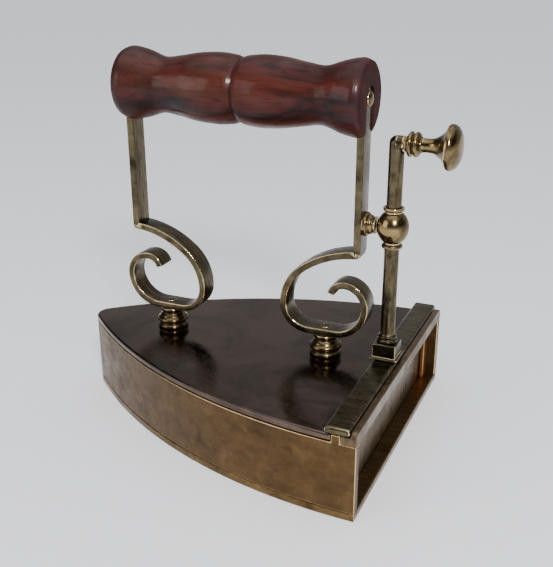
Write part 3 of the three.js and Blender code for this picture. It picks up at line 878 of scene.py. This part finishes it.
def swept_bar_tree():
    """Sweeps a rectangle with rounded corners along the object's own edges."""
    sizes = ["Bar Width", "Bar Thickness", "Corner Radius"]
    tree, given, out = geometry_tree("swept_bar", "Path", sizes, "Bar")
    path = tree.nodes.new("GeometryNodeMeshToCurve")
    tree.links.new(given.outputs["Path"], path.inputs[0])
    width_factor = tree.nodes.new("GeometryNodeInputNamedAttribute")
    width_factor.inputs["Name"].default_value = "width_factor"
    radius = tree.nodes.new("GeometryNodeSetCurveRadius")
    tree.links.new(path.outputs[0], radius.inputs["Curve"])
    tree.links.new(width_factor.outputs["Attribute"], radius.inputs["Radius"])
    upright = tree.nodes.new("GeometryNodeSetCurveNormal")
    upright.mode = "FREE"
    upright.inputs["Normal"].default_value = (0.0, 1.0, 0.0)
    tree.links.new(radius.outputs[0], upright.inputs["Curve"])
    outline = tree.nodes.new("GeometryNodeCurvePrimitiveQuadrilateral")
    tree.links.new(given.outputs["Bar Width"], outline.inputs["Width"])
    tree.links.new(given.outputs["Bar Thickness"], outline.inputs["Height"])
    corners = tree.nodes.new("GeometryNodeFilletCurve")
    corners.mode = "POLY"
    corners.inputs["Count"].default_value = 4
    tree.links.new(outline.outputs[0], corners.inputs["Curve"])
    tree.links.new(given.outputs["Corner Radius"], corners.inputs["Radius"])
    sweep = tree.nodes.new("GeometryNodeCurveToMesh")
    sweep.inputs["Fill Caps"].default_value = True
    tree.links.new(upright.outputs[0], sweep.inputs["Curve"])
    tree.links.new(corners.outputs[0], sweep.inputs["Profile Curve"])
    real_and_painted(tree, sweep.outputs[0], given, out)
    return tree


def set_inputs(modifier, **values):
    """Fills a node tree's inputs by their identifiers."""
    for item in modifier.node_group.interface.items_tree:
        key = item.name.replace(" ", "_")
        if item.item_type == "SOCKET" and item.in_out == "INPUT" and key in values:
            modifier[item.identifier] = values[key]


def build_scrolls():
    """Both stanchions with their scrolls. The front one is the rear one mirrored about the grip."""
    tree = swept_bar_tree()
    width = extent("rear_scroll").y
    centre_x = middle("wooden_grip").x
    rear_x = low("grip_tie_rod").x + TIE_HEAD_HEIGHT + STRIP_THICKNESS / 2
    points = bar_path(rear_x, middle("rear_post").x, middle("grip_tie_rod").z, width / 2)
    for side, mirror in (("rear", 1), ("front", -1)):
        verts = [((x - centre_x) * mirror + centre_x, 0.0, z) for x, z, _ in points]
        edges = [(i, i + 1) for i in range(len(verts) - 1)]
        path = new_object(f"{side}_path", verts, [], edges)
        factor = path.data.attributes.new("width_factor", "FLOAT", "POINT")
        factor.data.foreach_set("value", [share for _, _, share in points])
        sweep = path.modifiers.new("sweep", "NODES")
        sweep.node_group = tree
        set_inputs(sweep, Bar_Width=width, Bar_Thickness=STRIP_THICKNESS, Corner_Radius=0.45 * MM,
                   Finish=BAR)
        piece = evaluated_copy(path, f"{side}_bar")
        outward(piece)
        finish_piece(piece, BODY, BAR, [f"{side}_scroll"], 50)


# ---- Posts, nuts, peened ends -------------------------------------------------------------------

def build_posts():
    """A turned baluster over a stud through the deck, and the nut on that stud, at each end."""
    deck = high("top_plate").z
    for side in ("rear", "front"):
        name = f"{side}_post"
        place = middle(name)
        radius = extent(name).x / 2
        bottom, top = low(name).z, high(name).z
        seat = top - STRIP_THICKNESS - SEAT_GAP
        neck = 0.64 * radius
        height = seat - deck
        shares = [
            (radius * 0.88, 0), (radius * 0.98, 0.05), (radius * 0.98, 0.15), (radius * 0.83, 0.24),
            (radius, 0.34), (radius, 0.48), (radius * 0.86, 0.57), (neck * 1.22, 0.66), (neck, 0.76),
            (neck * 1.17, 0.84), (neck * 1.17, 1),
        ]
        turned = [(r, deck + share * height) for r, share in shares]
        stud = [(0, bottom), (STUD_RADIUS, bottom), (STUD_RADIUS, deck)]
        pin = [(PIN_RADIUS, seat), (PIN_RADIUS, top), (0, top)]
        place.z = 0
        post = lathe(f"{side}_baluster", soften([*stud, *turned, *pin], 0.5 * MM, 5), place)
        finish_piece(post, BODY, POST, [name], 50)
        nut = refined(f"{side}_post_nut", f"{side}_nut", 0.4 * MM)
        finish_piece(nut, BODY, GATE_METAL, [f"{side}_post_nut"])


def peened_tree():
    """Sets a low hammered dome on every point, leaning the way that the point says."""
    tree, given, out = geometry_tree("peened_ends", "Places", ["Dome Radius", "Dome Height"], "Domes")
    ball = tree.nodes.new("GeometryNodeMeshUVSphere")
    ball.inputs["Segments"].default_value = 32
    ball.inputs["Rings"].default_value = 16
    tree.links.new(given.outputs["Dome Radius"], ball.inputs["Radius"])
    squash = tree.nodes.new("ShaderNodeMath")
    squash.operation = "DIVIDE"
    tree.links.new(given.outputs["Dome Height"], squash.inputs[0])
    tree.links.new(given.outputs["Dome Radius"], squash.inputs[1])
    flat = tree.nodes.new("ShaderNodeCombineXYZ")
    flat.inputs[0].default_value = 1.0
    flat.inputs[1].default_value = 1.0
    tree.links.new(squash.outputs[0], flat.inputs[2])
    shape = tree.nodes.new("GeometryNodeTransform")
    tree.links.new(ball.outputs["Mesh"], shape.inputs["Geometry"])
    tree.links.new(flat.outputs[0], shape.inputs["Scale"])
    facing = tree.nodes.new("GeometryNodeInputNamedAttribute")
    facing.data_type = "FLOAT_VECTOR"
    facing.inputs["Name"].default_value = "facing"
    lean = tree.nodes.new("FunctionNodeAlignRotationToVector")
    tree.links.new(facing.outputs["Attribute"], lean.inputs["Vector"])
    spots = tree.nodes.new("GeometryNodeInstanceOnPoints")
    tree.links.new(given.outputs["Places"], spots.inputs["Points"])
    tree.links.new(shape.outputs[0], spots.inputs["Instance"])
    tree.links.new(lean.outputs[0], spots.inputs["Rotation"])
    real_and_painted(tree, spots.outputs[0], given, out)
    return tree


def build_peened_ends():
    """The riveted-over ends of the two posts and of the guide arm."""
    places = [(middle(post).x, 0.0, high(post).z) for post in ("rear_post", "front_post")]
    places.append((high("guide_arm").x, 0.0, middle("guide_arm").z))
    facings = [0.0, 0.0, 1.0] * 2 + [1.0, 0.0, 0.0]
    holder = new_object("peened_spots", places, [])
    facing = holder.data.attributes.new("facing", "FLOAT_VECTOR", "POINT")
    facing.data.foreach_set("vector", facings)
    domes = holder.modifiers.new("domes", "NODES")
    domes.node_group = peened_tree()
    set_inputs(domes, Dome_Radius=2.1 * MM, Dome_Height=0.55 * MM, Finish=BAR)
    finish_piece(evaluated_copy(holder, "peened_ends"), BODY, BAR, (), 60)


# ---- Grip and tie rod ---------------------------------------------------------------------------

def grip_profile(half, bulge):
    """The turned outline of the whole grip: two swells, two waists and a groove in the middle."""
    end_radius, waist, swell, groove = 0.862 * bulge, 0.759 * bulge, 0.95 * bulge, 0.82 * bulge
    curve = catmull([
        (end_radius + MM, 0.01 * half), (bulge - 0.25 * MM, 0.04 * half), (bulge, 0.08 * half),
        (bulge - 1.1 * MM, 0.19 * half), (waist, 0.34 * half), (waist + 0.8 * MM, 0.49 * half),
        (swell - 0.5 * MM, 0.65 * half), (swell, 0.81 * half), (swell - 0.5 * MM, 0.93 * half),
        (swell - MM, 0.97 * half),
    ], 10)
    side = [(0, 0), (end_radius * 0.5, 0), (end_radius, 0), *curve]
    return [*side, (groove, half), *[(r, 2 * half - h) for r, h in reversed(side)]]


def build_grip():
    """The turned wood, slotted at both ends for the stanchions' upper ends."""
    lo, hi = low("wooden_grip"), high("wooden_grip")
    middle_z = middle("grip_tie_rod").z
    bulge = hi.z - middle_z - 0.1 * MM
    profile = grip_profile((hi.x - lo.x) / 2, bulge)
    grip = lathe("turned_grip", profile, (lo.x, 0.0, middle_z), "x", 112)
    slot_gap = 0.3 * MM
    slot_half = extent("rear_scroll").y / 2 + slot_gap
    bar_face = low("grip_tie_rod").x + TIE_HEAD_HEIGHT
    slot_depth = bar_face - lo.x + STRIP_THICKNESS + slot_gap
    for sign, end in ((-1, lo.x), (1, hi.x)):
        cutter = slot_cutter(end, sign, slot_half, slot_depth, middle_z, bulge)
        cut = grip.modifiers.new("slot", "BOOLEAN")
        cut.operation, cut.object, cut.solver = "DIFFERENCE", cutter, "EXACT"
        grip = evaluated_copy(grip, "turned_grip")
        bpy.data.objects.remove(cutter)
    finish_piece(grip, BODY, WOOD, ["wooden_grip"], 38)


def slot_cutter(end, sign, half_width, depth, top, drop):
    """A round-topped bar that cuts the slot for a stanchion's upper end."""
    arch = (math.pi * i / 24 for i in range(25))
    outline = [(-half_width, top - 2 * drop), (half_width, top - 2 * drop)]
    outline += [(half_width * math.cos(a), top + half_width * math.sin(a)) for a in arch]
    x_in, x_out = end - sign * depth, end + sign * 3 * MM
    count = len(outline)
    verts = [(x_in, y, z) for y, z in outline] + [(x_out, y, z) for y, z in outline]
    faces = [list(range(count)), list(range(count, 2 * count))]
    faces += [[i, (i + 1) % count, (i + 1) % count + count, i + count] for i in range(count)]
    cutter = new_object("slot_cutter", verts, faces)
    outward(cutter)
    return cutter


def build_tie_rod():
    """The rod through the grip, with a peened dome at each end."""
    lo, hi = low("grip_tie_rod"), high("grip_tie_rod")
    head = extent("grip_tie_rod").y / 2
    length = hi.x - lo.x
    crown = TIE_HEAD_HEIGHT - 0.2 * MM
    quarter = (math.pi / 2 * i / 8 for i in range(1, 9))
    dome = [(head * math.sin(a), crown * (1 - math.cos(a))) for a in quarter]
    profile = [(0, 0), *dome, (head, TIE_HEAD_HEIGHT), (PIN_RADIUS, TIE_HEAD_HEIGHT)]
    profile += [(r, length - h) for r, h in reversed(profile)]
    rod = lathe("tie_rod", profile, (lo.x, 0.0, middle("grip_tie_rod").z), "x", 48)
    finish_piece(rod, BODY, KNOB, ["grip_tie_rod"], 50)


def build_slug():
    block = refined("heating_slug", "slug_block", 0.6 * MM)
    finish_piece(block, SLUG, IRON, ["heating_slug"])


# ---- Floor, light, camera -----------------------------------------------------------------------

def build_floor():
    size = 6.0
    corners = [(-size, -size, 0), (size, -size, 0), (size, size, 0), (-size, size, 0)]
    floor = new_object("floor", corners, [[0, 1, 2, 3]])
    material, _, shader, _ = new_material("pale_floor")
    shader.inputs["Base Color"].default_value = rgba(0.72, 0.73, 0.76)
    shader.inputs["Roughness"].default_value = 0.8
    shader.inputs["Emission Color"].default_value = rgba(0.86, 0.88, 0.93)
    shader.inputs["Emission Strength"].default_value = 0.36
    floor.data.materials.append(material)


def build_world():
    """A bright ceiling over a dark room, paler behind the iron and along the horizon."""
    world = bpy.data.worlds.new("studio")
    bpy.context.scene.world = world
    world.use_nodes = True
    tree = world.node_tree
    tree.nodes.clear()
    coords = tree.nodes.new("ShaderNodeTexCoord")
    split = node(tree, "ShaderNodeSeparateXYZ", None, Vector=coords.outputs["Generated"])
    side, up = split.outputs[1], split.outputs[2]
    ceiling = node(tree, "ShaderNodeMapRange", {"interpolation_type": "SMOOTHSTEP"}, Value=up)
    ceiling.inputs["From Min"].default_value = 0.62
    ceiling.inputs["From Max"].default_value = 0.92
    behind = spread(tree, side, -0.2, -0.8)
    room = mix_colour(tree, behind, rgba(0.035, 0.034, 0.035), rgba(0.42, 0.42, 0.43))
    level = spread(tree, math_node(tree, "ABSOLUTE", up), 0.16, 0.03)
    room = mix_colour(tree, level, room, rgba(0.5, 0.51, 0.53))
    sky = mix_colour(tree, ceiling.outputs[0], room, rgba(1.6, 1.64, 1.7))
    background = node(tree, "ShaderNodeBackground", None, Color=sky)
    background.inputs["Strength"].default_value = 1.0
    output = tree.nodes.new("ShaderNodeOutputWorld")
    tree.links.new(background.outputs[0], output.inputs[0])


def area_light(name, place, target, size, power, tint=(1.0, 1.0, 1.0)):
    data = bpy.data.lights.new(name, "AREA")
    data.size, data.energy, data.color = size, power, tint
    lamp = linked_object(name, data)
    lamp.location = place
    lamp.rotation_euler = (Vector(target) - Vector(place)).to_track_quat("-Z", "Y").to_euler()


def build_lights():
    aim = (0.0, 0.0, 0.06)
    area_light("key", (-0.42, 0.62, 0.6), aim, 0.16, 9.0, (1.0, 0.98, 0.95))
    area_light("fill", (0.55, 0.6, 0.35), aim, 0.5, 2.0)


def build_camera():
    """The view from behind the left heel corner, looking down along the iron."""
    yaw, pitch = math.radians(-66.79), math.radians(-22.22)
    level = math.cos(pitch)
    ahead = Vector((math.cos(yaw) * level, math.sin(yaw) * level, math.sin(pitch)))
    data = bpy.data.cameras.new("camera")
    data.sensor_width = 36.0
    data.lens = 54.6
    data.shift_x, data.shift_y = -0.0086, 0.0185
    data.clip_start, data.clip_end = 0.01, 20.0
    camera = linked_object("camera", data)
    camera.location = (-0.1418, 0.294, 0.1859)
    camera.rotation_mode = "QUATERNION"
    camera.rotation_quaternion = ahead.to_track_quat("-Z", "Y")
    bpy.context.scene.camera = camera


build_box()
build_gate()
build_guide()
build_scrolls()
build_posts()
build_peened_ends()
build_grip()
build_tie_rod()
build_slug()
build_floor()
build_world()
build_lights()
build_camera()
